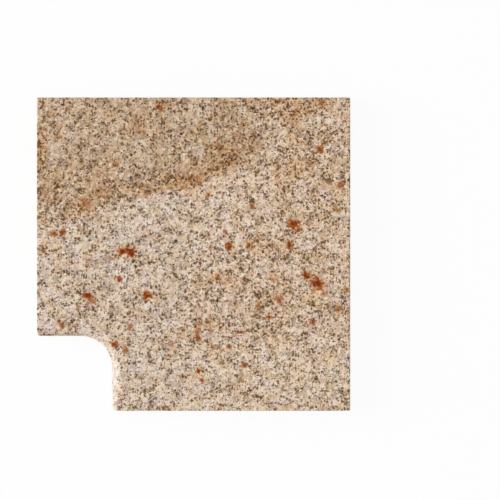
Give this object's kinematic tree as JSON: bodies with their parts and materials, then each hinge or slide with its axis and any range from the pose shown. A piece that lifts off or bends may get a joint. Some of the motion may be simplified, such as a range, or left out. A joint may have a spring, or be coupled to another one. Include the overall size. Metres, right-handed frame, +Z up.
{
  "type": "granite curb corner",
  "caption": "L-shaped granite slab with a bullnosed, rounded notch, which turns a curb or coping round an inside corner.",
  "frame": {"origin": "centre of the slab's square, on its bed face", "axes": "+Z up out of the walking face, +X and +Y out of the two long outer sides, the notch in the (-X, -Y) corner"},
  "size_m": [0.4, 0.4, 0.03],
  "materials": {
    "granite": "matte"
  },
  "bodies": {
    "root": {"curb_corner": "granite"}
  },
  "joints": []
}
